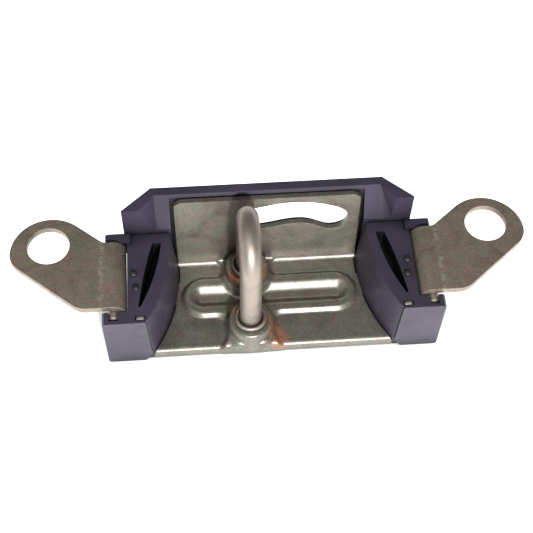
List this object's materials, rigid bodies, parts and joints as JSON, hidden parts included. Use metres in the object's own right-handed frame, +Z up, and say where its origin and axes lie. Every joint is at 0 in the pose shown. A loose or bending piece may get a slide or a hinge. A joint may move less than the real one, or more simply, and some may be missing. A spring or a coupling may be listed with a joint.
{
  "type": "hitch ring assembly",
  "caption": "Upright steel loop bar on a pressed pan in a black moulded surround, with a folding lug at each end that has a large round fixing hole.",
  "frame": {"origin": "on the base plane, in the middle of the length and of the depth", "axes": "+X to the right along the length, +Y to the back, away from the open side of the pan, +Z up along the loop's legs"},
  "size_m": [0.2024, 0.0508, 0.0597],
  "materials": {
    "black_moulding": "gloss",
    "yellow_zinc_sheet": "yellow_passivated",
    "yellow_zinc_lug": "yellow_passivated",
    "bright_bar": "polished",
    "dark_fixing": "satin",
    "spring_clip": "satin"
  },
  "bodies": {
    "base": {"back_shell": "black_moulding", "pan": "yellow_zinc_sheet", "loop_bar": "bright_bar", "front_collar": "bright_bar", "rear_collar": "bright_bar", "front_backing_washer": "dark_fixing", "rear_backing_washer": "dark_fixing", "left_end_housing": "black_moulding", "right_end_housing": "black_moulding", "left_hinge_pin": "bright_bar", "right_hinge_pin": "bright_bar", "left_retaining_clip": "spring_clip", "right_retaining_clip": "spring_clip", "left_end_screw": "dark_fixing", "right_end_screw": "dark_fixing", "left_push_nut": "dark_fixing", "right_push_nut": "dark_fixing", "left_arm_rivet_1": "dark_fixing", "right_arm_rivet_1": "dark_fixing", "left_arm_rivet_2": "dark_fixing", "right_arm_rivet_2": "dark_fixing"},
    "left_lug": {"left_lug": "yellow_zinc_lug"},
    "right_lug": {"right_lug": "yellow_zinc_lug"}
  },
  "joints": [
    {"name": "left_lug_hinge", "type": "hinge", "parent": "base", "child": "left_lug", "pos_m": [-0.0616, 0, 0.02815], "axis": [0, 1, 0], "range_deg": [-40, 80]},
    {"name": "right_lug_hinge", "type": "hinge", "parent": "base", "child": "right_lug", "pos_m": [0.0616, 0, 0.02815], "axis": [0, -1, 0], "range_deg": [-40, 80]}
  ]
}
